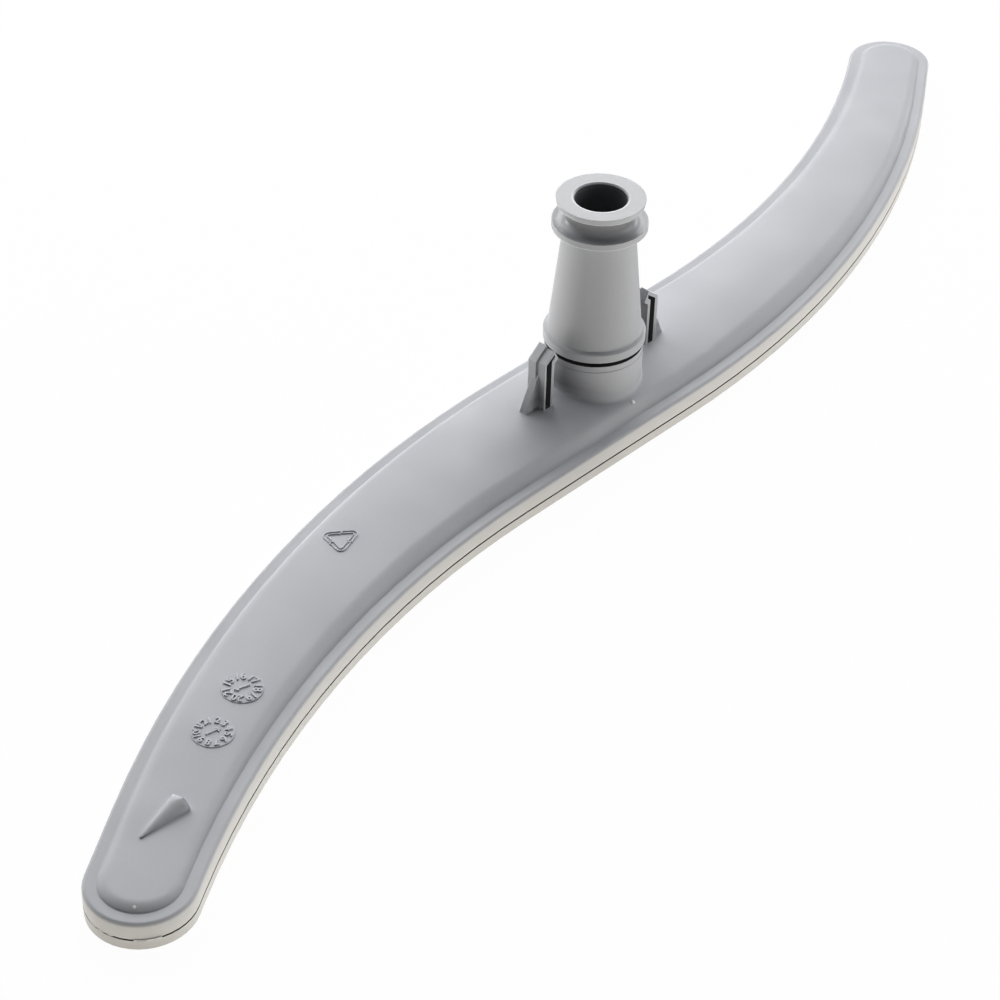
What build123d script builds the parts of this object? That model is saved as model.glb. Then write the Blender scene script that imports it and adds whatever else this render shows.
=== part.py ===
"""S-shaped dishwasher spray arm: two welded shells and a hollow feed hub that turns in the arm.

Frame: origin on the hub axis at the level of the spray face, +Z up along the hub,
+X along the line from tip to tip. Millimetres throughout.
"""
import os
from math import cos, radians, sin, sqrt, tan

from build123d import *

# Plan of the arm, the same on both halves after a half turn about the hub axis
half_span = 216.8          # hub axis to the centre of a rounded tip
tip_radius = 13.15
hub_width = 43.1           # across the straight middle
hub_heading = -14.6        # heading of the straight middle, degrees from +X
inner_heading = 16.8       # heading of the hollow edge where it reaches the tip
outer_heading = 18.3       # heading of the bulging edge where it reaches the tip
inner_run_out = 3.7        # straight end of the hollow edge, before the tip
outer_run_in = 17.3        # straight start of the bulging edge, beside the hub

# Heights above the spray face
seam = 3.6                 # where the two shells meet
rim_top = 8.2              # flat ledge round the raised panel
crown_hub = 13.7           # top of the panel beside the hub

# Shell walls
wall = 1.9
plate = 1.8                # thickness of the spray face
rim_round = 1.0            # rounding of the ledge's outer edge
face_bevel = 0.5           # bevel of the spray face's edge
weld_lip = 1.2             # thickness of the locating lip inside the seam
weld_lip_rise = 1.5        # how far it stands above the seam
weld_lip_gap = 0.1         # slip clearance between the lip and the other shell
seam_groove = 0.35         # height of the shadow groove left at the seam
seam_groove_depth = 0.6

# Raised panel, crowned across the arm and falling towards the tips
panel_inset = 3.3          # outer edge to the foot of the panel
panel_lean = 0.8           # sideways run of the panel's flank per unit of height
panel_round = 2.8          # rounding of the panel's upper edge
crease = 31.0              # the crown is level this far from the hub axis
crease_margin = 2.0        # the arm runs straight this far past the crease
crown_round = 55.0         # radius of the crown across the arm there
crown_reach = 30.0         # half width of the crown solid, wider than the arm
crown_stations = (         # distance along the arm, top of the crown, radius across
    (crease, crown_hub, crown_round),
    (0.44 * half_span, 12.6, 75.0),
    (0.74 * half_span, 11.1, 85.0),
    (1.09 * half_span, 9.4, 140.0),
)

# Socket for the hub
boss_radius = 13.6
boss_top = 24.3
boss_band = 1.9            # reduced band below the boss's upper edge
boss_band_step = 0.08
boss_foot = 9.6            # shoulder inside the arm that keeps the hub in
boss_foot_round = 0.8
turning_gap = 0.3          # radial and axial clearance of the turning hub

# Hub: spigot with snap bead, flange, cone, collar, grooved neck and top disc
spigot_radius = 11.4
spigot_bore_radius = 9.2
bead_radius = 12.9
bead_rise = 1.1
bead_lead = 1.0            # lead-in below the bead
flange_radius = 14.0
flange_bottom = 25.8
flange_rise = 2.6
flange_bevel = 0.25        # broken upper edge of the flange
cone_bottom_radius = 12.9
cone_top_radius = 9.7
cone_bevel = 0.4           # sloping foot of the cone
collar_radius = 12.9
collar_bottom = 60.9
collar_rise = 1.8
collar_undercut = 0.4      # fall of the collar's underside towards the cone
collar_dish = 1.2          # how far the collar's upper face sinks towards the neck
neck_radius = 9.0
neck_round = 2.2           # hollow rounding where the neck meets the collar
disc_radius = 12.0
disc_edge = 1.6
disc_edge_lean = 0.3       # the disc narrows by this much below its top
disc_underside = 0.5       # fall of the disc's underside towards the neck
hub_top = 69.5
bore_radius = 7.1
bore_depth = 12.0          # length of the parallel bore
bore_chamfer = 0.4

# Two snap hooks beside the hub, on the straight middle
hook_side = 3.3            # middle of the arm to the hook's plain side
hook_rib_side = 2.3        # and to its ribbed side
hook_root = 12.2           # buried foot of the hooks
hook_inner = 19.7          # hub axis to the face towards the hub
hook_outer = 23.3          # hub axis to the outer face
hook_leg = 1.0             # thickness of the inner leg
hook_guard = 0.6           # thickness of the outer leg
hook_roof = 0.6            # thickness of the sloping roof
hook_web = 0.1             # the slot reaches this far past the inner face, under the roof
hook_mouth = 1.3           # height of the slot there
hook_nose_reach = 1.5
hook_nose = 28.5           # height of the nose's edge
hook_nose_under = 27.3     # height where the nose meets the inner leg
hook_shoulder = 28.4       # height where the outer leg bends inwards
hook_top = 31.2
rib_width = 2.7            # rib over the outer leg and the roof
rib_rise = 0.6             # how far it stands above them
gusset_width = 2.2
gusset_reach = 4.9
gusset_top = 24.6

# Wedge-shaped bump near one tip: half a blunt cone with a flat on its back
bump_back = 9.5            # tip centre to the point of the bump, along the arm
bump_aside = 6.6           # and across it
bump_heading = -8.0
bump_length = 13.3
bump_point_radius = 0.3
bump_radius = 3.0
bump_level = 10.05         # height of its axis, at the panel's surface
bump_depth = 1.0           # how far it is buried in the panel
bump_flat = 2.6            # height of the flat above its axis
bump_flat_tilt = 13.5      # sideways fall of the flat, degrees

# Spray jets in the spray face: an oval dish round a slot
jet_slot = (8.0, 2.2)
jet_dish = (13.0, 7.0)
jet_dish_depth = 0.6
jet_turn = 25.0            # the slots lie at this angle to the arm
far_jets = (0.24, 0.45, 0.66, 0.87)        # distances along the arm, as shares of half_span
near_jets = (0.35, 0.56, 0.77, 0.95)

# How edges and faces are picked
touch = 0.01               # closer than this counts as touching
level_within = 25.0        # faces that slope less than this count as level, degrees


def ahead(heading, distance):
    """A step of the given length along a heading in the plan."""
    return Vector(distance * cos(radians(heading)), distance * sin(radians(heading)))


def meet(start, start_heading, end, end_heading):
    """Where the line leaving one point meets the line arriving at another."""
    out = ahead(start_heading, 1.0)
    back = ahead(end_heading, 1.0)
    gap = end - start
    travel = (gap.X * back.Y - gap.Y * back.X) / (out.X * back.Y - out.Y * back.X)
    return start + out * travel


def bend(start, start_heading, end, end_heading, run_in=0.0, run_out=0.0):
    """The widest bend from one point to another that leaves these straight runs at its ends."""
    corner = meet(start, start_heading, end, end_heading)
    half_turn = radians(abs(end_heading - start_heading) / 2)
    bend_room = min((corner - start).length - run_in, (end - corner).length - run_out)
    return FilletPolyline(start, corner, end, radius=bend_room / tan(half_turn))


def from_axis(point):
    """Distance of a point from the hub axis."""
    return Vector(point.X, point.Y).length


hub_axis = Vector(0, 0)
tip_centre = Vector(half_span, 0)
tip_heading = (inner_heading + outer_heading) / 2
inner_start = ahead(hub_heading + 90, hub_width / 2)
inner_end = tip_centre + ahead(inner_heading + 90, tip_radius)
outer_start = ahead(hub_heading - 90, hub_width / 2)
outer_end = tip_centre + ahead(outer_heading - 90, tip_radius)
path_end = tip_centre + ahead(tip_heading, 2 * tip_radius)

with BuildLine() as far_edge:
    bend(inner_start, hub_heading, inner_end, inner_heading, run_out=inner_run_out)
    ThreePointArc(inner_end, tip_centre + ahead(tip_heading, tip_radius), outer_end)
    bend(outer_start, hub_heading, outer_end, outer_heading, run_in=outer_run_in)

with BuildSketch() as arm_plan:
    with BuildLine():
        add(far_edge.line)
        add(far_edge.line.rotate(Axis.Z, 180))
    make_face()

with BuildLine() as middle_line:
    bend(hub_axis, hub_heading, path_end, tip_heading, run_in=crease + crease_margin)


def along_arm(distance):
    """Point and direction on the arm's middle line, this far from the hub axis."""
    point = middle_line.wire().position_at(distance, position_mode=PositionMode.LENGTH)
    forward = middle_line.wire().tangent_at(distance, position_mode=PositionMode.LENGTH)
    return point, forward


def across_arm(distance):
    """Upright plane square to the arm: x to the arm's left, y up."""
    point, forward = along_arm(distance)
    return Plane(origin=point, x_dir=Vector(0, 0, 1).cross(forward), z_dir=forward)


def crown_section(crest, radius):
    """Section under the crown: a wide arc closed down to the spray face."""
    edge = crest - radius + sqrt(radius**2 - crown_reach**2)
    arc = ThreePointArc((-crown_reach, edge), (0, crest), (crown_reach, edge))
    Polyline(arc @ 1, (crown_reach, 0), (-crown_reach, 0), arc @ 0)


# Solid under the crowned top surface: level beside the hub, falling along both halves
with BuildPart() as far_crown:
    for distance, crest, radius in crown_stations:
        with BuildSketch(across_arm(distance)):
            with BuildLine():
                crown_section(crest, radius)
            make_face()
    loft()

with BuildPart() as crown:
    with BuildSketch(across_arm(0)):
        with BuildLine():
            crown_section(crown_hub, crown_round)
        make_face()
    extrude(amount=crease, both=True)
    add(far_crown.part)
    add(far_crown.part.rotate(Axis.Z, 180))


def looks_up(face):
    """True for the faces of the crown, which are nearly level."""
    return face.normal_at().Z > cos(radians(level_within))


def on_crease(edge):
    """True for the edges across the panel where the crown starts to fall."""
    return abs(abs(edge.center().dot(ahead(hub_heading, 1.0))) - crease) < touch


# Raised panel: leaning flanks cut off by the crown, with its upper edge rounded
panel_height = crown_hub - rim_top
with BuildPart() as raised_panel:
    with BuildSketch(Plane.XY.offset(rim_top)):
        add(arm_plan.sketch)
        offset(amount=-panel_inset)
    with BuildSketch(Plane.XY.offset(crown_hub)):
        add(arm_plan.sketch)
        offset(amount=-panel_inset - panel_lean * panel_height)
    loft(ruled=True)
    add(crown.part, mode=Mode.INTERSECT)
    top_faces = raised_panel.faces().filter_by(looks_up)
    fillet(top_faces.edges().filter_by(on_crease, reverse=True), radius=panel_round)

# Wedge-shaped bump: half a cone lying on the panel, flattened on its back
bump_plane = Plane(
    origin=(bump_back - half_span, bump_aside, bump_level),
    x_dir=ahead(bump_heading, 1.0),
    z_dir=ahead(bump_heading - 90, 1.0),
)
flat_point = bump_plane.from_local_coords(Vector(0, bump_flat))
flat_lean = ahead(bump_heading + 90, sin(radians(bump_flat_tilt)))
flat_normal = flat_lean + Vector(0, 0, cos(radians(bump_flat_tilt)))
with BuildPart() as bump:
    with BuildSketch(bump_plane):
        with BuildLine():
            Polyline((0, 0), (bump_length, 0), (bump_length, bump_radius), (0, bump_point_radius), close=True)
        make_face()
    revolve(axis=Axis(bump_plane.origin, bump_plane.x_dir))
    split(bisect_by=Plane(origin=(0, 0, bump_level - bump_depth)), keep=Keep.TOP)
    split(bisect_by=Plane(origin=flat_point, z_dir=flat_normal), keep=Keep.BOTTOM)

# Water channel inside the shells, a wall's thickness under every outer surface
with BuildPart() as channel:
    with BuildSketch(Plane.XY.offset(seam)):
        add(arm_plan.sketch)
        offset(amount=-wall)
    extrude(amount=rim_top - wall - seam)
    with BuildSketch(Plane.XY.offset(seam)):
        add(arm_plan.sketch)
        offset(amount=-panel_inset - panel_lean * wall - wall)
    extrude(amount=crown_hub - seam)
    add(crown.part.moved(Location((0, 0, -wall))), mode=Mode.INTERSECT)

# Snap hook on the straight middle: a slotted post with a nose towards the hub, a rib and a gusset
plain_side = Plane(
    origin=ahead(hub_heading + 90, hook_side),
    x_dir=ahead(hub_heading, 1.0),
    z_dir=ahead(hub_heading - 90, 1.0),
)
arm_middle = plain_side.offset(hook_side)
rib_side = arm_middle.offset(hook_rib_side)
slot_inner = hook_inner + hook_leg
slot_outer = hook_outer - hook_guard
slot_end = hook_inner - hook_web
gusset_foot = hook_outer + gusset_reach * (gusset_top - hook_root) / (gusset_top - crown_hub)


def slot_roof(radius):
    """Height of the underside of a hook's roof at this distance from the hub axis."""
    fall = (hook_top - hook_shoulder) / (hook_outer - hook_inner)
    return hook_shoulder + (hook_outer - radius) * fall - hook_roof * sqrt(1 + fall**2)


def hook_outline(rise):
    """Side view of a hook, with its outer leg and roof raised by this much."""
    Polyline(
        (hook_inner, hook_root),
        (hook_outer + rise, hook_root),
        (hook_outer + rise, hook_shoulder),
        (hook_inner, hook_top + rise),
        (hook_inner - hook_nose_reach, hook_nose),
        (hook_inner, hook_nose_under),
        close=True,
    )


with BuildPart() as hook:
    with BuildSketch(plain_side):
        with BuildLine():
            hook_outline(0.0)
        make_face()
    extrude(amount=hook_side + hook_rib_side)
    with BuildSketch(rib_side):
        with BuildLine():
            hook_outline(rib_rise)
        make_face()
    extrude(amount=-rib_width)
    with BuildSketch(arm_middle):
        with BuildLine():
            Polyline((hook_outer, hook_root), (gusset_foot, hook_root), (hook_outer, gusset_top), close=True)
        make_face()
    extrude(amount=gusset_width / 2, both=True)
    with BuildSketch(plain_side):
        with BuildLine():
            Polyline(
                (slot_inner, crown_hub),
                (slot_outer, crown_hub),
                (slot_outer, slot_roof(slot_outer)),
                (slot_end, slot_roof(slot_end)),
                (slot_end, slot_roof(slot_end) - hook_mouth),
                (slot_inner, slot_roof(slot_inner) - hook_mouth),
                close=True,
            )
        make_face()
    extrude(amount=hook_side + hook_rib_side, mode=Mode.SUBTRACT)

# Shell on the hub side: ledge, raised panel, socket, hooks and bump in one moulding
socket_radius = spigot_radius + turning_gap
bead_top = boss_foot - turning_gap


def on_boss_foot(edge):
    """True for the edges where the boss meets the crowned panel."""
    crown_fall = crown_round - sqrt(crown_round**2 - boss_radius**2)
    return all(
        abs(from_axis(point) - boss_radius) < touch and -touch < crown_hub - point.Z < crown_fall + touch
        for point in (edge @ 0, edge @ 1)
    )


with BuildPart() as hub_side_shell:
    with BuildSketch(Plane.XY.offset(seam)):
        add(arm_plan.sketch)
    extrude(amount=rim_top - seam)
    fillet(hub_side_shell.faces().sort_by(Axis.Z)[-1].edges(), radius=rim_round)
    add(raised_panel.part)
    add(channel.part, mode=Mode.SUBTRACT)
    with BuildSketch(Plane.XY.offset(boss_foot)):
        Circle(boss_radius)
    extrude(amount=boss_top - boss_band - boss_foot)
    boss_joint = hub_side_shell.edges().filter_by(on_boss_foot)
    fillet(boss_joint, radius=boss_foot_round)
    with BuildSketch(Plane.XY.offset(boss_top - boss_band)):
        Circle(boss_radius - boss_band_step)
    extrude(amount=boss_band)
    with BuildSketch(Plane.XY.offset(boss_foot)):
        Circle(socket_radius)
    extrude(amount=boss_top - boss_foot, mode=Mode.SUBTRACT)
    add(hook.part)
    add(hook.part.rotate(Axis.Z, 180))
    add(bump.part)

# Shell on the spray side: flat face with the jets, a low wall and the locating lip
with BuildPart() as spray_side_shell:
    with BuildSketch():
        add(arm_plan.sketch)
    extrude(amount=seam)
    chamfer(spray_side_shell.faces().sort_by(Axis.Z)[0].edges(), length=face_bevel)
    with BuildSketch(Plane.XY.offset(plate)):
        add(arm_plan.sketch)
        offset(amount=-wall - weld_lip_gap - weld_lip)
    extrude(amount=seam - plate, mode=Mode.SUBTRACT)
    with BuildSketch(Plane.XY.offset(seam)):
        add(arm_plan.sketch)
        offset(amount=-wall - weld_lip_gap)
        offset(amount=-weld_lip, mode=Mode.SUBTRACT)
    extrude(amount=weld_lip_rise)
    with BuildSketch(Plane.XY.offset(seam)):
        add(arm_plan.sketch)
        offset(amount=-seam_groove_depth, mode=Mode.SUBTRACT)
    extrude(amount=-seam_groove, mode=Mode.SUBTRACT)
    for half, shares in ((1, far_jets), (-1, near_jets)):
        for share in shares:
            point, forward = along_arm(share * half_span)
            jet_plane = Plane(origin=point * half, x_dir=forward * half, z_dir=(0, 0, 1))
            with BuildSketch(jet_plane):
                SlotOverall(*jet_dish, rotation=jet_turn)
            extrude(amount=jet_dish_depth, mode=Mode.SUBTRACT)
            with BuildSketch(jet_plane):
                SlotOverall(*jet_slot, rotation=jet_turn)
            extrude(amount=plate, mode=Mode.SUBTRACT)

# Feed hub: one turned moulding, hollow from the top bore to the open spigot
flange_top = flange_bottom + flange_rise
neck_foot = collar_bottom + collar_rise - collar_dish


def on_neck_foot(corner):
    """True for the corner of the hub's profile where the neck meets the collar."""
    return abs(corner.X - neck_radius) < touch and abs(corner.Y - neck_foot) < touch


with BuildPart() as feed_hub:
    with BuildSketch(Plane.XZ) as hub_profile:
        with BuildLine():
            Polyline(
                (bore_radius + bore_chamfer, hub_top),
                (disc_radius, hub_top),
                (disc_radius - disc_edge_lean, hub_top - disc_edge),
                (neck_radius, hub_top - disc_edge - disc_underside),
                (neck_radius, neck_foot),
                (collar_radius, collar_bottom + collar_rise),
                (collar_radius, collar_bottom),
                (cone_top_radius, collar_bottom - collar_undercut),
                (cone_bottom_radius, flange_top + cone_bevel),
                (flange_radius - flange_bevel, flange_top),
                (flange_radius, flange_top - flange_bevel),
                (flange_radius, flange_bottom),
                (spigot_radius, flange_bottom),
                (spigot_radius, bead_top),
                (bead_radius, bead_top),
                (bead_radius, bead_top - bead_rise),
                (spigot_radius, bead_top - bead_rise - bead_lead),
                (spigot_bore_radius, bead_top - bead_rise - bead_lead),
                (spigot_bore_radius, flange_bottom),
                (bore_radius, hub_top - bore_depth),
                (bore_radius, hub_top - bore_chamfer),
                close=True,
            )
        make_face()
        fillet(hub_profile.vertices().filter_by(on_neck_foot), radius=neck_round)
    revolve(axis=Axis.Z)

os.makedirs("parts", exist_ok=True)
for piece, name in (
    (hub_side_shell, "hub_side_shell"),
    (spray_side_shell, "spray_side_shell"),
    (feed_hub, "feed_hub"),
):
    piece.part.label = name
    export_step(piece.part, f"parts/{name}.step")
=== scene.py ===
"""Looks of the dishwasher spray arm: moulded plastic, small moulded marks, studio light and camera."""

from math import atan2, cos, degrees, pi, radians, sin

import bmesh
import bpy
from mathutils import Matrix, Vector, noise
from mathutils.bvhtree import BVHTree


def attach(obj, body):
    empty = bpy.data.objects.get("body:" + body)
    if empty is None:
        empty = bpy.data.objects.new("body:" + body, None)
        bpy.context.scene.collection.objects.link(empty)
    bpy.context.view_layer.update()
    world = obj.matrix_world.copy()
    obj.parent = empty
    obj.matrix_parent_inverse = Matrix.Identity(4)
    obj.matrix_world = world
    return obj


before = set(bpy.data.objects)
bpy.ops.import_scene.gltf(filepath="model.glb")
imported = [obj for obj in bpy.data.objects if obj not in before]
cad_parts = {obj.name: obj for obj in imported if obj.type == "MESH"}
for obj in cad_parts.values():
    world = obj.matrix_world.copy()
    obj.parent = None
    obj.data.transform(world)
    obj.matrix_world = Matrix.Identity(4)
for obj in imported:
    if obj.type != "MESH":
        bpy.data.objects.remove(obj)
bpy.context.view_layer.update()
MM = 0.001

# Camera at the photograph's viewing angle: metres, radians, and millimetres for the lens and sensor
CAMERA_PLACE = Vector((-0.5445, -0.2600, 0.4401))
CAMERA_YAW = radians(-62.158)
CAMERA_PITCH = radians(38.096)
CAMERA_ROLL = radians(1.5685)
CAMERA_LENS = 96.317
CAMERA_SENSOR = 36.0

# Softboxes: compass direction, height above the floor in degrees, distance and size in metres, power in watts
SOFTBOXES = (
    ("back", 25.5, 38.0, 1.9, 1.2, 20.8),
    ("back_left", 70.5, 38.0, 2.2, 1.4, 18.8),
    ("back_low", 39.0, 14.0, 2.5, 1.2, 10.0),
    ("left_high", 100.0, 55.0, 2.5, 1.5, 6.5),
    ("left_low", 85.0, 5.0, 2.5, 0.4, 16.5),
    ("right_low", 300.0, 15.0, 2.5, 1.2, 15.5),
    ("right_back", 344.0, 11.0, 2.5, 0.8, 12.0),
    ("right_high", 340.5, 64.0, 2.5, 1.5, 14.5),
)
FLOOR_COLOUR = (0.88, 0.87, 0.86)
FLOOR_HALF = 6.0           # metres from the floor's middle to its sides
FLOOR_DROP = 0.2 * MM      # from the arm down to the floor
FLOOR_GLOW = (1.0, 0.955, 0.88)
GLOW_BASE = 1.2            # glow of the light table
# Brighter patches of the table: place in the plan, inner and outer reach in metres, extra glow
GLOW_PATCHES = (
    (-0.045, 0.095, 0.06, 0.09, 2.5),
    (0.225, -0.39, 0.24, 0.30, 2.2),
)
FLOOR_WHITE_SHARE = 0.97   # the rest of what the camera sees of the floor keeps the shadow
ROOM_WHITE = (1.0, 1.0, 1.0)
AMBIENT = 0.001            # what the white room adds to the light on the arm

# Plastic of the two shells and of the hub
SHELL_GREY = (0.383, 0.394, 0.420)
HUB_GREY = (0.350, 0.361, 0.382)
# the pips and weld bead: partly stress-whitened plastic, partly a painted highlight
TORN_AND_HIGHLIT_GREY = (0.75, 0.75, 0.75)
# painted shade: the colour that recesses and hollows are darkened towards
PAINTED_SHADE = (0.022, 0.022, 0.023)
TABLE_LIT_WALL = (0.535, 0.527, 0.508)   # painted light: the lowest walls are paler and warmer, as if lit by the light table
MARK_HIGHLIGHT = 1.3            # painted highlight: the raised marks are paler than the panel
EDGE_RADIUS = 0.35 * MM
BORE_EDGE_RADIUS = 0.12 * MM
MARK_EDGE_RADIUS = 0.05 * MM
ROLL_RADIUS = 2.2 * MM     # the panel's edge rolls off this softly
SHELL_EDGE_LIFT = 1.6      # painted highlight: edges are paler than the plastic by these factors
HUB_EDGE_LIFT = 2.2
MARK_EDGE_LIFT = 1.25
PLASTIC_IOR = 1.48
SATIN = (0.52, 0.62)       # least and most roughness
SMOOTH = (0.32, 0.42)
GRAIN_STRENGTH = 0.08
GRAIN_DEPTH = 0.05 * MM

# Noise: scales in features per metre along each axis, and the part of its range that is used
CLOUD_SCALE = (40.0, 40.0, 40.0)
SPECKLE_SCALE = (1100.0, 1100.0, 1100.0)
GRAIN_SCALE = (2400.0, 2400.0, 2400.0)
EVEN = (60.0, 60.0, 60.0)
UPRIGHT = (1500.0, 1500.0, 20.0)
NOISE_RANGE = (0.3, 0.7)

# Masks and shade in the materials
SOFT_STEP = 0.05 * MM      # half the width of a mask's edge
FINE_STEP = 0.02 * MM
HOLLOW_RANGE = (0.35, 0.9)   # share of the sky that a closed and a clear point see
NODE_SAMPLES = 8

# Sizes of the solids that the painted shade of the recesses follows
HUB_TOP = 69.5 * MM
BORE_RADIUS = 7.1 * MM
FLANGE_BOTTOM = 25.8 * MM
BOSS_TOP = 24.3 * MM
SLOT_MIDDLE = 21.7 * MM    # hub axis to the middle of a hook's slot
SLOT_HALF_WIDTH = 1.0 * MM
SLOT_HALF_LENGTH = 2.8 * MM
SLOT_ASIDE = 0.5 * MM      # the hooks stand this far off the arm's middle line, each to its left
SLOT_FLOOR = 13.0 * MM
SLOT_ROOF = 45.76 * MM     # height of the slots' sloping roof, carried on to the hub axis
SLOT_ROOF_FALL = 0.778
MIDDLE_HEADING = radians(-14.6)
HOOKS_REACH = 32.0 * MM
BOSS_REACH = 16.0 * MM
RIM_TOP = 8.2 * MM
PANEL_TOP = 13.7 * MM
SEAM_MIDDLE = 3.42 * MM
SEAM_HALF = 0.25 * MM

# Marks on the panel: places in the plan, headings and sizes
DIAL_RADIUS = 5.2 * MM
DIAL_CORE_RADIUS = 2.6 * MM
DIAL_STAND = 0.04 * MM     # above the highest point of the panel under the dial's rim
DIAL_EDGE = 0.06 * MM
DIAL_DEPTH = 1.5 * MM
MARK_HEIGHT = 0.35 * MM
MARK_WIDTH = 0.5 * MM
NUMERAL_SWELL = 0.04 * MM
LINE_WIDTH = 0.3 * MM
SIGN_WIDTH = 0.95 * MM     # across a bar, between its two raised outlines
MONTH_DIAL = Vector((-171.1, 11.3)) * MM
MONTH_FIRST = radians(46.0)
MONTH_ARROW = radians(-27.0)
YEAR_DIAL = Vector((-155.2, 13.5)) * MM
YEAR_FIRST = radians(92.0)
YEAR_ARROW = radians(148.0)
MONTHS = range(1, 13)
MONTH_SIZE = 2.6 * MM      # height of the numbers
YEARS = range(15, 22)
YEAR_SIZE = 2.9 * MM
SIGN_PLACE = Vector((-96.8, 21.9)) * MM
SIGN_HEADING = radians(93.0)
SIGN_INSIDE = 3.1 * MM     # middle of the sign to its outer outline
SIGN_ROUND = 1.4 * MM      # rounding of that outline's corners
PIP_PLACE = Vector((-4.5, -15.0)) * MM
PIP_SIZE = (0.6 * MM, 0.35 * MM)   # radius and height
GATE_PLACE = Vector((-224.7, -3.8)) * MM
GATE_SIZE = (0.4 * MM, 0.2 * MM)

# The painted highlight round the hub's bore, and its neck with the nick and the shaded groove
HIGHLIGHT_HEADING = radians(200.0)   # the side of the bore's edge with the strongest painted highlight
NECK_MARK_HEADING = radians(165.5)
NECK_MARK_LEVEL = 63.4 * MM
NECK_MARK_LENGTH = 1.4 * MM
NECK_MARK_ASIDE = 0.22 * MM
NECK_MARK_WIDTH = 0.22 * MM
NECK_MARK_HEIGHT = 0.1 * MM
NECK_RADIUS = 9.0 * MM
GROOVE_RADIUS = 12.0 * MM
GROOVE_BOTTOM = 61.4 * MM
GROOVE_TOP = 67.8 * MM

# The weld bead at the marked tip: headings from and to in degrees, fullness, unevenness and rise
TIP_MIDDLE = Vector((-216.8, 0.0)) * MM
TIP_REACH = 10.0 * MM      # how far the tip's parts run past its middle
FLASH_PARTS = (
    (100.0, 186.0, 0.95, 0.3, 0.0 * MM),
    (207.0, 234.0, 1.6, 0.3, 0.2 * MM),
    (236.0, 251.0, 0.2, 2.0, 0.05 * MM),
)
FLASH_ELSEWHERE = (-0.35, 1.0, 0.0 * MM)
FLASH_SPACING = 0.6 * MM
FLASH_ROOT = -0.65 * MM    # the bead's inner side, from the outline
FLASH_SET_BACK = -0.5 * MM   # the bead's outer side where it has no fullness
FLASH_GROWTH = 0.5 * MM    # added for a fullness of 1
FLASH_LEAST = -0.1         # least fullness
FLASH_MOST = 0.35 * MM     # furthest that the bead stands out
FLASH_THICK = 0.10 * MM    # half its thickness, and how that waves
FLASH_THICK_WAVE = 0.05 * MM


def add_node(tree, kind, **settings):
    """A shader node with its attributes set."""
    made = tree.nodes.new(kind)
    for name, value in settings.items():
        setattr(made, name, value)
    return made


def feed(tree, socket, value):
    """Links an output to a socket, or sets the socket to a plain value."""
    if isinstance(value, bpy.types.NodeSocket):
        tree.links.new(value, socket)
    else:
        socket.default_value = value


def calculate(tree, operation, *values):
    """One step of arithmetic in a shader."""
    step = add_node(tree, "ShaderNodeMath", operation=operation)
    for socket, value in zip(step.inputs, values):
        feed(tree, socket, value)
    return step.outputs["Value"]


def fade(tree, value, start, end, low=0.0, high=1.0):
    """Goes from low to high as a value goes from start to end."""
    ranged = add_node(tree, "ShaderNodeMapRange")
    settings = {"Value": value, "From Min": start, "From Max": end, "To Min": low, "To Max": high}
    for name, setting in settings.items():
        feed(tree, ranged.inputs[name], setting)
    return ranged.outputs["Result"]


def grain_noise(tree, scale, detail):
    """Noise in the piece's own coordinates, with its scale in features per metre along each axis."""
    place = add_node(tree, "ShaderNodeTexCoord")
    mapping = add_node(tree, "ShaderNodeMapping")
    mapping.inputs["Scale"].default_value = scale
    texture = add_node(tree, "ShaderNodeTexNoise")
    texture.inputs["Scale"].default_value = 1.0
    texture.inputs["Detail"].default_value = detail
    tree.links.new(place.outputs["Object"], mapping.inputs["Vector"])
    tree.links.new(mapping.outputs["Vector"], texture.inputs["Vector"])
    return texture.outputs["Fac"]


def own_place(tree):
    """The coordinates of a point on the piece."""
    place = add_node(tree, "ShaderNodeTexCoord")
    split = add_node(tree, "ShaderNodeSeparateXYZ")
    tree.links.new(place.outputs["Object"], split.inputs["Vector"])
    return split.outputs


def plan_distance(tree, across, along):
    """Distance in the plan from its two parts."""
    squares = [calculate(tree, "POWER", part, 2.0) for part in (across, along)]
    return calculate(tree, "SQRT", calculate(tree, "ADD", *squares))


def level_and_radius(tree):
    """The height of a point on the piece, and its distance from the hub axis."""
    x, y, z = own_place(tree)
    return z, plan_distance(tree, x, y)


def towards(tree, x, y, heading):
    """How far a point lies towards a heading in the plan."""
    return calculate(
        tree,
        "ADD",
        calculate(tree, "MULTIPLY", x, cos(heading)),
        calculate(tree, "MULTIPLY", y, sin(heading)),
    )


def inside(tree, value, limit, soft=SOFT_STEP):
    """1 where a value is below a limit, 0 above it, with a soft step."""
    return fade(tree, value, limit + soft, limit - soft)


def both(tree, *masks):
    """1 where every mask is."""
    joined = masks[0]
    for mask in masks[1:]:
        joined = calculate(tree, "MULTIPLY", joined, mask)
    return joined


def hub_recesses(tree):
    """Painted shade: the bore darkened inside, and the spigot dark where it shows through the running gap."""
    z, radius = level_and_radius(tree)
    bore = both(
        tree,
        inside(tree, radius, BORE_RADIUS + 0.2 * MM),
        fade(tree, z, HUB_TOP - 0.38 * MM, HUB_TOP - 0.46 * MM),
        fade(tree, z, HUB_TOP, HUB_TOP - 12.0 * MM, 0.5, 0.95),
    )
    spigot = inside(tree, z, FLANGE_BOTTOM + 0.05 * MM)
    return calculate(tree, "MAXIMUM", bore, spigot)


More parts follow.
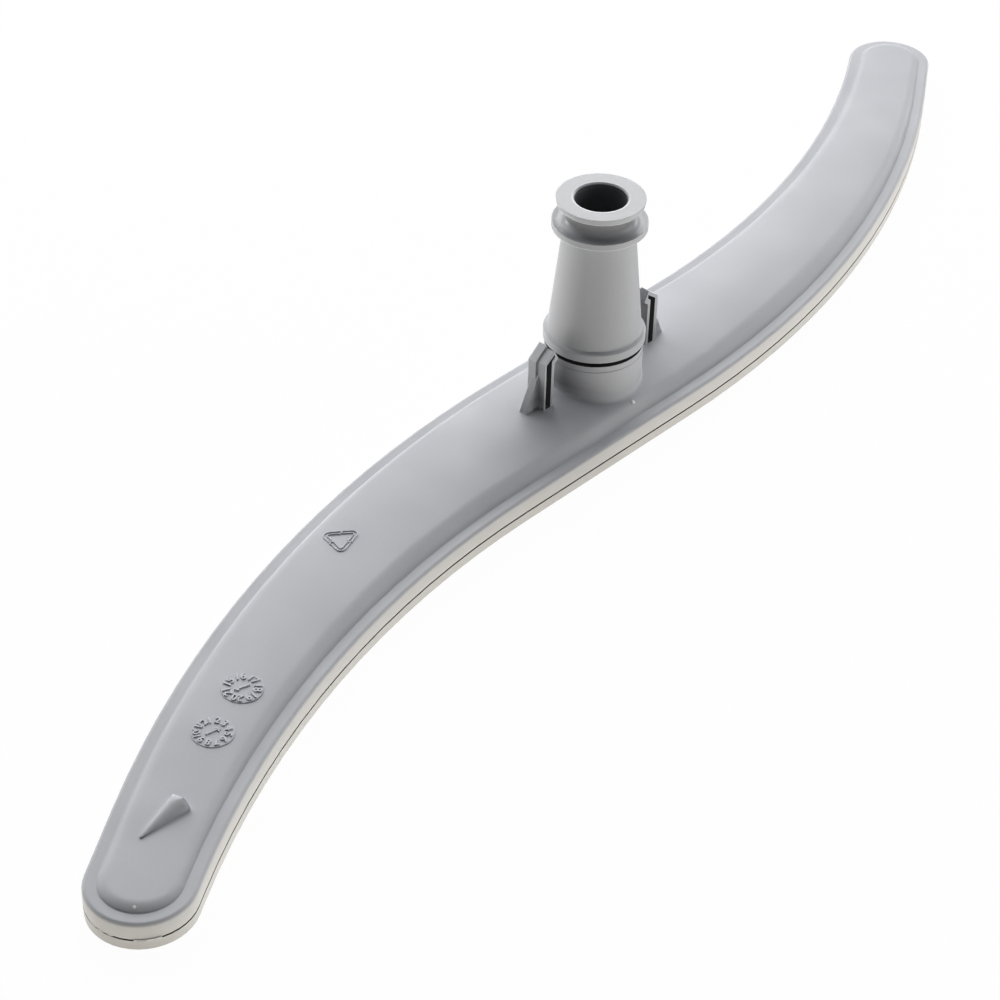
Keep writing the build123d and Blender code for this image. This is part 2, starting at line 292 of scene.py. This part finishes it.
def shell_recesses(tree):
    """Painted shade: dark in the running gap on top of the boss, in the slots of the two hooks and in the
    groove of the seam.
    """
    x, y, z = own_place(tree)
    under_top = calculate(tree, "SUBTRACT", BOSS_TOP, z)
    gap = both(
        tree,
        inside(tree, under_top, 0.04 * MM, FINE_STEP),
        inside(tree, plan_distance(tree, x, y), SLOT_MIDDLE - 5.0 * MM),
    )
    along = towards(tree, x, y, MIDDLE_HEADING)
    aside = towards(tree, x, y, MIDDLE_HEADING + pi / 2)
    out = calculate(tree, "ABSOLUTE", along)
    leftwards = calculate(tree, "MULTIPLY", aside, calculate(tree, "SIGN", along))
    off_middle = calculate(tree, "SUBTRACT", leftwards, SLOT_ASIDE)
    from_middle = calculate(tree, "ABSOLUTE", calculate(tree, "SUBTRACT", out, SLOT_MIDDLE))
    roof = calculate(tree, "ADD", z, calculate(tree, "MULTIPLY", out, SLOT_ROOF_FALL))
    slots = both(
        tree,
        inside(tree, from_middle, SLOT_HALF_WIDTH + 0.05 * MM, FINE_STEP),
        inside(tree, calculate(tree, "ABSOLUTE", off_middle), SLOT_HALF_LENGTH),
        inside(tree, roof, SLOT_ROOF + 0.1 * MM),
        inside(tree, calculate(tree, "SUBTRACT", SLOT_FLOOR, z), 0.0),
    )
    off_seam = calculate(tree, "ABSOLUTE", calculate(tree, "SUBTRACT", z, SEAM_MIDDLE))
    groove = inside(tree, off_seam, SEAM_HALF, FINE_STEP)
    return calculate(tree, "MAXIMUM", calculate(tree, "MAXIMUM", gap, slots), groove)


def hollows(tree, reach, darkest):
    """A shade for narrow hollows, from how freely a point sees out within a reach."""
    occlusion = add_node(tree, "ShaderNodeAmbientOcclusion", samples=NODE_SAMPLES)
    occlusion.inputs["Distance"].default_value = reach
    return fade(tree, occlusion.outputs["AO"], *HOLLOW_RANGE, darkest, 1.0)


def hub_hollows(tree):
    """Shade in the groove round the neck, and fainter under the collar and flange and on the disc's top."""
    z, radius = level_and_radius(tree)
    groove = both(
        tree,
        fade(tree, radius, GROOVE_RADIUS, NECK_RADIUS, 0.0, 0.34),
        fade(tree, z, GROOVE_BOTTOM + 0.6 * MM, GROOVE_BOTTOM + 2.6 * MM),
        inside(tree, z, GROOVE_TOP),
    )
    top = fade(tree, z, HUB_TOP - 0.1 * MM, HUB_TOP - 0.05 * MM, 1.0, 0.88)
    return both(tree, hollows(tree, 8.0 * MM, 0.95), calculate(tree, "SUBTRACT", 1.0, groove), top)


def shell_hollows(tree):
    """Shade on the boss and the hooks and in the foot of the panel, and none on the panel itself."""
    z, radius = level_and_radius(tree)
    raised = both(
        tree,
        inside(tree, radius, HOOKS_REACH, 1.0 * MM),
        fade(tree, z, PANEL_TOP, PANEL_TOP + 3.0 * MM),
        fade(tree, radius, BOSS_REACH, BOSS_REACH + 2.0 * MM, 1.0, 0.85),
    )
    shade = hollows(tree, 12.0 * MM, 0.15)
    foot = both(
        tree,
        fade(tree, z, RIM_TOP + 0.02 * MM, RIM_TOP + 0.05 * MM),
        fade(tree, z, RIM_TOP + 0.3 * MM, RIM_TOP + 1.2 * MM, 0.16, 0.0),
    )
    clear = calculate(tree, "SUBTRACT", 1.0, both(tree, raised, calculate(tree, "SUBTRACT", 1.0, shade)))
    return calculate(tree, "SUBTRACT", clear, foot)


def shell_rounding(tree):
    """Radius that softens the shell's edges: wide on the panel's roll above its crisp foot, else fine."""
    z, radius = level_and_radius(tree)
    roll = both(
        tree,
        fade(tree, z, RIM_TOP + 0.7 * MM, RIM_TOP + 1.4 * MM),
        inside(tree, z, PANEL_TOP - 0.4 * MM, 0.1 * MM),
        fade(tree, radius, BOSS_REACH, BOSS_REACH + 1.5 * MM),
    )
    return fade(tree, roll, 0.0, 1.0, EDGE_RADIUS, ROLL_RADIUS)


def hub_rounding(tree):
    """Radius that softens the hub's edges: fine round the bore, wider elsewhere."""
    radius = level_and_radius(tree)[1]
    return fade(tree, radius, BORE_RADIUS + 1.0 * MM, BORE_RADIUS + 1.5 * MM, BORE_EDGE_RADIUS, EDGE_RADIUS)


def hub_edges(tree, edge_highlight):
    """Painted highlight: edges are pale on the disc and collar and half so below, with a pale ring round the
    bore, brightest on one side.
    """
    x, y, z = own_place(tree)
    radius = plan_distance(tree, x, y)
    upper = fade(tree, z, GROOVE_BOTTOM - 4.0 * MM, GROOVE_BOTTOM - 2.0 * MM, 0.5, 1.0)
    off_ring = calculate(tree, "ABSOLUTE", calculate(tree, "SUBTRACT", radius, BORE_RADIUS + 0.45 * MM))
    highlight_side = towards(tree, x, y, HIGHLIGHT_HEADING)
    # painted highlight: a pale ring round the bore's edge, brightest towards one side
    ring = both(
        tree,
        inside(tree, off_ring, 0.25 * MM),
        fade(tree, z, HUB_TOP - 0.4 * MM, HUB_TOP - 0.3 * MM),
        fade(tree, highlight_side, -2.0 * MM, 4.0 * MM, 0.2, 1.0),
    )
    return calculate(tree, "MAXIMUM", both(tree, edge_highlight, upper), ring)


def facing_up(tree):
    """How far a face looks up: 1 for a level top, -1 for an underside."""
    geometry = add_node(tree, "ShaderNodeNewGeometry")
    split = add_node(tree, "ShaderNodeSeparateXYZ")
    tree.links.new(geometry.outputs["Normal"], split.inputs["Vector"])
    return split.outputs["Z"]


def shell_edges(tree, edge_highlight):
    """Painted highlight: edges and roofs are pale on the hooks, and edges less so elsewhere."""
    z, radius = level_and_radius(tree)
    hooks = both(
        tree,
        fade(tree, radius, BOSS_REACH, BOSS_REACH + 2.0 * MM),
        inside(tree, radius, HOOKS_REACH, 1.0 * MM),
        fade(tree, z, PANEL_TOP + 1.0 * MM, PANEL_TOP + 3.0 * MM),
    )
    # painted highlight on the hooks' upward faces
    lit_roofs = both(tree, hooks, fade(tree, facing_up(tree), 0.6, 0.75, 0.0, 0.8))
    return calculate(tree, "MAXIMUM", both(tree, edge_highlight, fade(tree, hooks, 0.0, 1.0, 0.4, 1.0)), lit_roofs)


def low_walls(tree):
    """Painted light from the light table on the upright walls under the ledge, most of all at their foot."""
    z = own_place(tree)["Z"]
    return both(
        tree,
        fade(tree, calculate(tree, "ABSOLUTE", facing_up(tree)), 0.8, 0.4),
        fade(tree, z, RIM_TOP - 0.8 * MM, SEAM_MIDDLE, 0.7, 1.0),
        inside(tree, z, RIM_TOP - 0.3 * MM, 0.3 * MM),
    )


def edge_wear(tree, rounded):
    """Painted highlight along edges: how far the softened normal turns away from the face's own."""
    geometry = add_node(tree, "ShaderNodeNewGeometry")
    agree = add_node(tree, "ShaderNodeVectorMath", operation="DOT_PRODUCT")
    tree.links.new(geometry.outputs["Normal"], agree.inputs[0])
    tree.links.new(rounded, agree.inputs[1])
    return fade(tree, agree.outputs["Value"], 0.99, 0.80)


def blend_colour(tree, factor, first, second):
    """A colour that goes from the first to the second with a factor."""
    mix = add_node(tree, "ShaderNodeMix", data_type="RGBA")
    feed(tree, mix.inputs["Factor"], factor)
    for socket, colour in ((mix.inputs[6], first), (mix.inputs[7], second)):
        feed(tree, socket, colour if isinstance(colour, bpy.types.NodeSocket) else (*colour, 1.0))
    return mix.outputs[2]


def moulded_plastic(
    name,
    grey,
    streak,
    gloss,
    rounding_radius,
    edge_lift,
    edges=None,
    recess_shade=None,
    hollow_shade=None,
    painted_table_light=None,
):
    """Filled plastic: cloudy grey, grain, draw streaks, with painted highlights on edges, painted shade in
    recesses and hollows, and painted table light on the low walls.
    """
    material = bpy.data.materials.new(name)
    material.use_nodes = True
    tree = material.node_tree
    shader = tree.nodes["Principled BSDF"]
    shader.inputs["IOR"].default_value = PLASTIC_IOR
    radius = rounding_radius(tree) if callable(rounding_radius) else rounding_radius
    rounding = add_node(tree, "ShaderNodeBevel", samples=NODE_SAMPLES)
    feed(tree, rounding.inputs["Radius"], radius)
    pale, deep = ([c * shade for c in grey] for shade in (1.02, 0.98))
    clouds = fade(tree, grain_noise(tree, CLOUD_SCALE, 4.0), *NOISE_RANGE)
    speckle = fade(tree, grain_noise(tree, SPECKLE_SCALE, 1.0), *NOISE_RANGE)
    mottle = calculate(tree, "MULTIPLY_ADD", speckle, 0.5, calculate(tree, "MULTIPLY", clouds, 0.5))
    colour = blend_colour(tree, mottle, deep, pale)
    # painted light: the low walls paler and warmer, as if lit by the light table
    if painted_table_light:
        colour = blend_colour(tree, painted_table_light(tree), colour, TABLE_LIT_WALL)
    # painted highlight along edges
    edge_highlight = edge_wear(tree, rounding.outputs["Normal"])
    if edges:
        edge_highlight = edges(tree, edge_highlight)
    colour = blend_colour(tree, edge_highlight, colour, [c * edge_lift for c in grey])
    roughness = fade(tree, grain_noise(tree, streak, 2.0), *NOISE_RANGE, *gloss)
    if hollow_shade:
        colour = blend_colour(tree, hollow_shade(tree), PAINTED_SHADE, colour)
    # painted shade in the recesses
    if recess_shade:
        recess_shade_mask = recess_shade(tree)
        colour = blend_colour(tree, recess_shade_mask, colour, PAINTED_SHADE)
        roughness = calculate(tree, "MAXIMUM", roughness, recess_shade_mask)
    feed(tree, shader.inputs["Base Color"], colour)
    feed(tree, shader.inputs["Roughness"], roughness)
    grain = add_node(tree, "ShaderNodeBump")
    grain.inputs["Strength"].default_value = GRAIN_STRENGTH
    grain.inputs["Distance"].default_value = GRAIN_DEPTH
    feed(tree, grain.inputs["Height"], grain_noise(tree, GRAIN_SCALE, 2.0))
    feed(tree, grain.inputs["Normal"], rounding.outputs["Normal"])
    feed(tree, shader.inputs["Normal"], grain.outputs["Normal"])
    return material


def finish_piece(name, bm, materials, body):
    """Turns a built mesh into a piece that rides on a body."""
    bmesh.ops.recalc_face_normals(bm, faces=bm.faces)
    mesh = bpy.data.meshes.new(name)
    bm.to_mesh(mesh)
    bm.free()
    for material in materials:
        mesh.materials.append(material)
    piece = bpy.data.objects.new(name, mesh)
    bpy.context.scene.collection.objects.link(piece)
    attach(piece, body)


def skin_of(node):
    """A look-up of a solid's skin, for setting marks on it."""
    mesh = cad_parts[node].data
    return BVHTree.FromPolygons([v.co for v in mesh.vertices], [p.vertices for p in mesh.polygons])


def on_panel(skin, place):
    """The point of the panel above a place in the plan, and the way that it faces."""
    return skin.ray_cast(Vector((place.x, place.y, HUB_TOP)), Vector((0, 0, -1)))[:2]


def flat_frame(skin, place):
    """A flat frame that touches the panel at a place."""
    point, up = on_panel(skin, place)
    side = up.cross(Vector((1, 0, 0))).normalized()
    return Matrix.Translation(point) @ Matrix((side.cross(up), side, up)).transposed().to_4x4()


def polar(distance, heading):
    """A step in the plan of a distance towards a heading."""
    return Vector((distance * cos(heading), distance * sin(heading)))


def revolved(bm, profile, segments, lift):
    """A turned form from a profile of (radius, height), ending on its axis."""
    rings = []
    for radius, height in profile[:-1]:
        circle = (polar(radius, 2 * pi * k / segments) for k in range(segments))
        rings.append([bm.verts.new(lift(Vector((*point, height)))) for point in circle])
    for lower, upper in zip(rings, rings[1:]):
        for k in range(segments):
            after = (k + 1) % segments
            bm.faces.new((lower[k], lower[after], upper[after], upper[k]))
    top = bm.verts.new(lift(Vector((0, 0, profile[-1][1]))))
    for k in range(segments):
        bm.faces.new((rings[-1][k], rings[-1][(k + 1) % segments], top))


def ridge(bm, path, width, height, lift):
    """A raised line with sloping sides along an open flat path."""
    section = ((-0.5, -0.3), (-0.3, 1.0), (0.3, 1.0), (0.5, -0.3))
    rows = []
    for k, point in enumerate(path):
        before = path[max(k - 1, 0)]
        after = path[min(k + 1, len(path) - 1)]
        across = Vector((before.y - after.y, after.x - before.x)).normalized()
        corners = (Vector((*(point + across * width * side), height * rise)) for side, rise in section)
        rows.append([bm.verts.new(lift(corner)) for corner in corners])
    for row, following in zip(rows, rows[1:]):
        for k in range(len(section) - 1):
            bm.faces.new((row[k], row[k + 1], following[k + 1], following[k]))
    bm.faces.new(rows[0])
    bm.faces.new(reversed(rows[-1]))


def numeral(bm, text, size, place):
    """A raised number standing at a place in space."""
    letters = bpy.data.curves.new("numeral", "FONT")
    letters.body = text
    letters.size = size
    letters.extrude = MARK_HEIGHT
    letters.offset = NUMERAL_SWELL
    letters.align_x = "CENTER"
    letters.align_y = "CENTER"
    carrier = bpy.data.objects.new("numeral", letters)
    mesh = bpy.data.meshes.new_from_object(carrier)
    mesh.transform(place)
    bm.from_mesh(mesh)
    bpy.data.objects.remove(carrier)
    bpy.data.curves.remove(letters)
    bpy.data.meshes.remove(mesh)


def arrow(bm, heading, lift):
    """A raised arrow across the middle of the dial."""
    length = 0.75 * DIAL_CORE_RADIUS
    barb = 0.42 * DIAL_CORE_RADIUS
    tip = polar(length, heading)
    ridge(bm, [-tip, tip], MARK_WIDTH, MARK_HEIGHT, lift)
    for turn in (radians(145), radians(-145)):
        ridge(bm, [tip, tip + polar(barb, heading + turn)], MARK_WIDTH, MARK_HEIGHT, lift)


def date_dial(name, skin, place, numbers, first, size, arrow_heading):
    """A flat mould insert, tilted less than the panel: a plate with an arrow and numbers round it."""
    bm = bmesh.new()
    middle, panel_up = on_panel(skin, place)
    up = (panel_up + Vector((0, 0, 1))).normalized()
    rim = [place + polar(DIAL_RADIUS, 2 * pi * k / 24) for k in range(24)]
    clearance = max((on_panel(skin, point)[0] - middle).dot(up) for point in rim)
    tilt = Vector((0, 0, 1)).rotation_difference(up).to_matrix().to_4x4()
    frame_here = Matrix.Translation(middle + up * max(clearance, 0.0)) @ tilt

    def lift(point):
        return frame_here @ point

    profile = [
        (DIAL_RADIUS, -DIAL_DEPTH),
        (DIAL_RADIUS, DIAL_STAND - DIAL_EDGE),
        (DIAL_RADIUS - DIAL_EDGE, DIAL_STAND),
        (0.0, DIAL_STAND),
    ]
    revolved(bm, profile, 72, lift)
    plate_faces = len(bm.faces)
    ring = 0.47 * (DIAL_RADIUS + DIAL_CORE_RADIUS)
    for k, number in enumerate(numbers):
        angle = first - 2 * pi * k / len(numbers)
        turn = Matrix.Rotation(angle - pi / 2, 4, "Z")
        outward = Matrix.Translation(Vector((0, ring, DIAL_STAND)))
        numeral(bm, str(number), size, frame_here @ turn @ outward)
    arrow(bm, arrow_heading, lambda point: frame_here @ (point + Vector((0, 0, DIAL_STAND))))
    bm.faces.ensure_lookup_table()
    for face in bm.faces[plate_faces:]:
        face.material_index = 1
    finish_piece(name, bm, (plate_plastic, highlit_mark_plastic), "arm")


def triangle_sign(skin):
    """A plain triangle of three bent bars in raised outline, each with an arrow head."""
    bm = bmesh.new()

    def lift(point):
        place = SIGN_PLACE + Vector((point.x, point.y))
        return on_panel(skin, place)[0] + Vector((0, 0, point.z))

    def bar_line(heading, inward):
        distance = SIGN_INSIDE - inward
        rounding = SIGN_ROUND - inward
        corner = polar(2 * (distance - rounding), heading)
        bend = [corner + polar(rounding, heading + radians(turn)) for turn in (60, 36, 12, -12, -36, -60)]
        start = polar(distance, heading + radians(60)).lerp(bend[0], 0.16)
        end = polar(distance, heading - radians(60)).lerp(bend[-1], 0.1)
        return [start, *bend, end]

    for k in range(3):
        outer, inner = (bar_line(SIGN_HEADING - 2 * pi * k / 3, inward) for inward in (0.0, SIGN_WIDTH))
        onward = (outer[-1] - outer[-2]).normalized()
        head = (outer[-1] + inner[-1]) / 2 + onward * 0.7 * MM
        barb = (outer[-1] - inner[-1]) * 0.3
        for line in (outer, inner, [head, outer[-1] + barb], [head, inner[-1] - barb]):
            ridge(bm, line, LINE_WIDTH, MARK_HEIGHT, lift)
    finish_piece("triangle_sign", bm, (highlit_mark_plastic,), "arm")


def pip(name, skin, place, radius, height):
    """A small moulding pip: a low dome with a dimple where it was cut off."""
    bm = bmesh.new()
    frame_here = flat_frame(skin, place)
    dome = [(radius * cos(a), height * sin(a)) for a in (k * pi / 16 for k in range(7))]
    revolved(bm, [(radius, -height), *dome, (0.0, 0.8 * height)], 20, lambda point: frame_here @ point)
    finish_piece(name, bm, (torn_and_highlit_plastic,), "arm")


def neck_mark():
    """A short upright nick with raised lips on the hub's neck."""
    bm = bmesh.new()
    half = NECK_MARK_LENGTH / 2

    def lift(point):
        out = polar(NECK_RADIUS + point.z, NECK_MARK_HEADING + point.x / NECK_RADIUS)
        return Vector((*out, NECK_MARK_LEVEL + point.y))

    for aside in (-NECK_MARK_ASIDE, NECK_MARK_ASIDE):
        path = [Vector((aside, -half)), Vector((aside * 1.2, 0.0)), Vector((aside, half))]
        ridge(bm, path, NECK_MARK_WIDTH, NECK_MARK_HEIGHT, lift)
    finish_piece("neck_mark", bm, (nick_plastic,), "hub")


def seam_outline():
    """The arm's outline at the seam, as the corners of a closed line in order."""
    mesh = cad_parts["hub_side_shell"].data
    level = min(v.co.z for v in mesh.vertices)
    following = {}
    for polygon in mesh.polygons:
        corners = [mesh.vertices[k].co for k in polygon.vertices]
        low = [c for c in corners if c.z < level + 0.01 * MM]
        if len(low) == 2 and abs(polygon.normal.z) < 0.1:
            keys = [tuple(round(v / (0.001 * MM)) for v in c.xy) for c in low]
            for key, other in (keys, reversed(keys)):
                following.setdefault(key, []).append(other)
    loops = []
    while following:
        loop = [next(iter(following))]
        while loop[-1] in following:
            choices = [k for k in following.pop(loop[-1]) if k in following]
            loop += choices[:1]
        loops.append([Vector(k) * 0.001 * MM for k in loop])
    return max(loops, key=lambda loop: sum((b - a).length for a, b in zip(loop, loop[1:])))


def even_points(loop, spacing):
    """Points along a closed line at an even spacing."""
    points = []
    for start, end in zip(loop, loop[1:] + loop[:1]):
        count = max(1, round((end - start).length / spacing))
        points += [start.lerp(end, k / count) for k in range(count)]
    return points


def flash_here(point):
    """How full and uneven the weld is at a point of the outline, and how far it rises."""
    from_tip = point - TIP_MIDDLE
    heading = degrees(atan2(from_tip.y, from_tip.x)) % 360.0
    for first, last, *part in FLASH_PARTS:
        if point.x < TIP_MIDDLE.x + TIP_REACH and first < heading < last:
            return part
    return FLASH_ELSEWHERE


def weld_flash():
    """The uneven bead of plastic that welding leaves in the seam, fuller in parts of the marked tip."""
    bm = bmesh.new()
    outline = even_points(seam_outline(), FLASH_SPACING)
    if sum(a.x * b.y - a.y * b.x for a, b in zip(outline, outline[1:])) < 0:
        outline.reverse()
    rows = []
    for k, point in enumerate(outline):
        along = (outline[(k + 1) % len(outline)] - outline[k - 1]).normalized()
        outward = Vector((along.y, -along.x))
        ripple = noise.noise(Vector((*(point * 700.0), 0.0)))
        swell = noise.noise(Vector((*(point * 90.0), 5.0)))
        wave = ripple + 0.6 * swell
        full, rough, rise = flash_here(point)
        fullness = max(rough * wave + full, FLASH_LEAST)
        reach = min(FLASH_SET_BACK + FLASH_GROWTH * fullness, FLASH_MOST)
        thick = FLASH_THICK + FLASH_THICK_WAVE * wave
        levels = ((FLASH_ROOT, thick), (reach, thick + rise), (reach, rise - thick), (FLASH_ROOT, -thick))
        corners = ((*(point + outward * depth), SEAM_MIDDLE + level) for depth, level in levels)
        rows.append([bm.verts.new(corner) for corner in corners])
    for row, after in zip(rows, rows[1:] + rows[:1]):
        for k in range(4):
            bm.faces.new((row[k], row[(k + 1) % 4], after[(k + 1) % 4], after[k]))
    finish_piece("weld_flash", bm, (torn_and_highlit_plastic,), "arm")


def white_to_camera(tree, share):
    """A factor that is a share for rays from the camera and reflections, and nothing for other light."""
    path = add_node(tree, "ShaderNodeLightPath")
    seen = calculate(tree, "MAXIMUM", path.outputs["Is Camera Ray"], path.outputs["Is Glossy Ray"])
    seen = calculate(tree, "MAXIMUM", seen, path.outputs["Is Transmission Ray"])
    return calculate(tree, "MULTIPLY", seen, share)


def white_floor():
    """A pale light table that shows white to the camera and keeps a faint shadow."""
    mesh = bpy.data.meshes.new("floor")
    sides = ((-1, -1), (1, -1), (1, 1), (-1, 1))
    mesh.from_pydata([(FLOOR_HALF * x, FLOOR_HALF * y, 0.0) for x, y in sides], [], [(0, 1, 2, 3)])
    floor = bpy.data.objects.new("floor", mesh)
    floor.location.z = -FLOOR_DROP
    bpy.context.scene.collection.objects.link(floor)
    material = bpy.data.materials.new("white_floor")
    material.use_nodes = True
    tree = material.node_tree
    tree.nodes.remove(tree.nodes["Principled BSDF"])
    matte = add_node(tree, "ShaderNodeBsdfDiffuse")
    matte.inputs["Color"].default_value = (*FLOOR_COLOUR, 1.0)
    path = add_node(tree, "ShaderNodeLightPath")
    glow = add_node(tree, "ShaderNodeEmission")
    glow.inputs["Color"].default_value = (*FLOOR_GLOW, 1.0)
    place = own_place(tree)
    table = GLOW_BASE
    for patch_x, patch_y, inner, outer, extra in GLOW_PATCHES:
        across = calculate(tree, "SUBTRACT", place["X"], patch_x)
        along = calculate(tree, "SUBTRACT", place["Y"], patch_y)
        away = plan_distance(tree, across, along)
        table = calculate(tree, "ADD", table, fade(tree, away, inner, outer, extra, 0.0))
    feed(tree, glow.inputs["Strength"], calculate(tree, "MULTIPLY", path.outputs["Is Diffuse Ray"], table))
    lit = add_node(tree, "ShaderNodeAddShader")
    white = add_node(tree, "ShaderNodeEmission")
    mix = add_node(tree, "ShaderNodeMixShader")
    tree.links.new(matte.outputs["BSDF"], lit.inputs[0])
    tree.links.new(glow.outputs["Emission"], lit.inputs[1])
    feed(tree, mix.inputs["Fac"], white_to_camera(tree, FLOOR_WHITE_SHARE))
    tree.links.new(lit.outputs["Shader"], mix.inputs[1])
    tree.links.new(white.outputs["Emission"], mix.inputs[2])
    tree.links.new(mix.outputs["Shader"], tree.nodes["Material Output"].inputs["Surface"])
    mesh.materials.append(material)


def soft_light(name, azimuth, elevation, distance, size, watts):
    """A square softbox that faces the hub from a compass direction and height."""
    lamp = bpy.data.lights.new(name, "AREA")
    lamp.size = size
    lamp.energy = watts
    holder = bpy.data.objects.new(name, lamp)
    turn = Matrix.Rotation(radians(azimuth), 4, "Z") @ Matrix.Rotation(-radians(elevation), 4, "Y")
    away = turn @ Vector((distance, 0, 0))
    holder.location = away
    holder.rotation_euler = away.to_track_quat("Z", "Y").to_euler()
    bpy.context.scene.collection.objects.link(holder)


def studio():
    """A white room with softboxes round the arm, brightest from behind."""
    world = bpy.data.worlds.new("studio")
    world.use_nodes = True
    tree = world.node_tree
    sky = tree.nodes["Background"]
    sky.inputs["Color"].default_value = (*ROOM_WHITE, 1.0)
    feed(tree, sky.inputs["Strength"], calculate(tree, "MAXIMUM", white_to_camera(tree, 1.0), AMBIENT))
    bpy.context.scene.world = world
    for softbox in SOFTBOXES:
        soft_light(*softbox)


def photograph_camera():
    """A camera fitted to the photograph's view."""
    lens = bpy.data.cameras.new("camera")
    lens.lens = CAMERA_LENS
    lens.sensor_width = CAMERA_SENSOR
    camera = bpy.data.objects.new("camera", lens)
    turn = Matrix.Rotation(CAMERA_YAW, 4, "Z")
    tip = Matrix.Rotation(pi / 2 - CAMERA_PITCH, 4, "X")
    roll = Matrix.Rotation(CAMERA_ROLL, 4, "Z")
    camera.matrix_world = Matrix.Translation(CAMERA_PLACE) @ turn @ tip @ roll
    bpy.context.scene.collection.objects.link(camera)
    bpy.context.scene.camera = camera


shell_plastic = moulded_plastic(
    "shell_plastic",
    SHELL_GREY,
    EVEN,
    SATIN,
    shell_rounding,
    SHELL_EDGE_LIFT,
    shell_edges,
    shell_recesses,
    shell_hollows,
    low_walls,
)
hub_plastic = moulded_plastic(
    "hub_plastic",
    HUB_GREY,
    UPRIGHT,
    SMOOTH,
    hub_rounding,
    HUB_EDGE_LIFT,
    hub_edges,
    hub_recesses,
    hub_hollows,
)
plate_plastic = moulded_plastic("plate_plastic", SHELL_GREY, EVEN, SATIN, MARK_EDGE_RADIUS, MARK_EDGE_LIFT)
# painted highlight: the raised marks lighter than the panel
highlit_mark_grey = [c * MARK_HIGHLIGHT for c in SHELL_GREY]
highlit_mark_plastic = moulded_plastic("highlit_mark_plastic", highlit_mark_grey, EVEN, SATIN, MARK_EDGE_RADIUS, 1.0)
# the pips and weld bead: partly stress-whitened plastic, partly a painted highlight
torn_and_highlit_plastic = moulded_plastic("torn_and_highlit_plastic", TORN_AND_HIGHLIT_GREY, EVEN, SATIN, MARK_EDGE_RADIUS, MARK_EDGE_LIFT)
nick_plastic = moulded_plastic("nick_plastic", HUB_GREY, UPRIGHT, SMOOTH, MARK_EDGE_RADIUS, MARK_EDGE_LIFT)
for node_name, plastic in (
    ("hub_side_shell", shell_plastic),
    ("spray_side_shell", shell_plastic),
    ("feed_hub", hub_plastic),
):
    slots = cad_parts[node_name].data.materials
    slots.clear()
    slots.append(plastic)

panel = skin_of("hub_side_shell")
date_dial("month_dial", panel, MONTH_DIAL, MONTHS, MONTH_FIRST, MONTH_SIZE, MONTH_ARROW)
date_dial("year_dial", panel, YEAR_DIAL, YEARS, YEAR_FIRST, YEAR_SIZE, YEAR_ARROW)
triangle_sign(panel)
pip("boss_pip", panel, PIP_PLACE, *PIP_SIZE)
pip("gate_pip", panel, GATE_PLACE, *GATE_SIZE)
neck_mark()
weld_flash()
white_floor()
studio()
photograph_camera()
bpy.context.scene.view_settings.view_transform = "Standard"
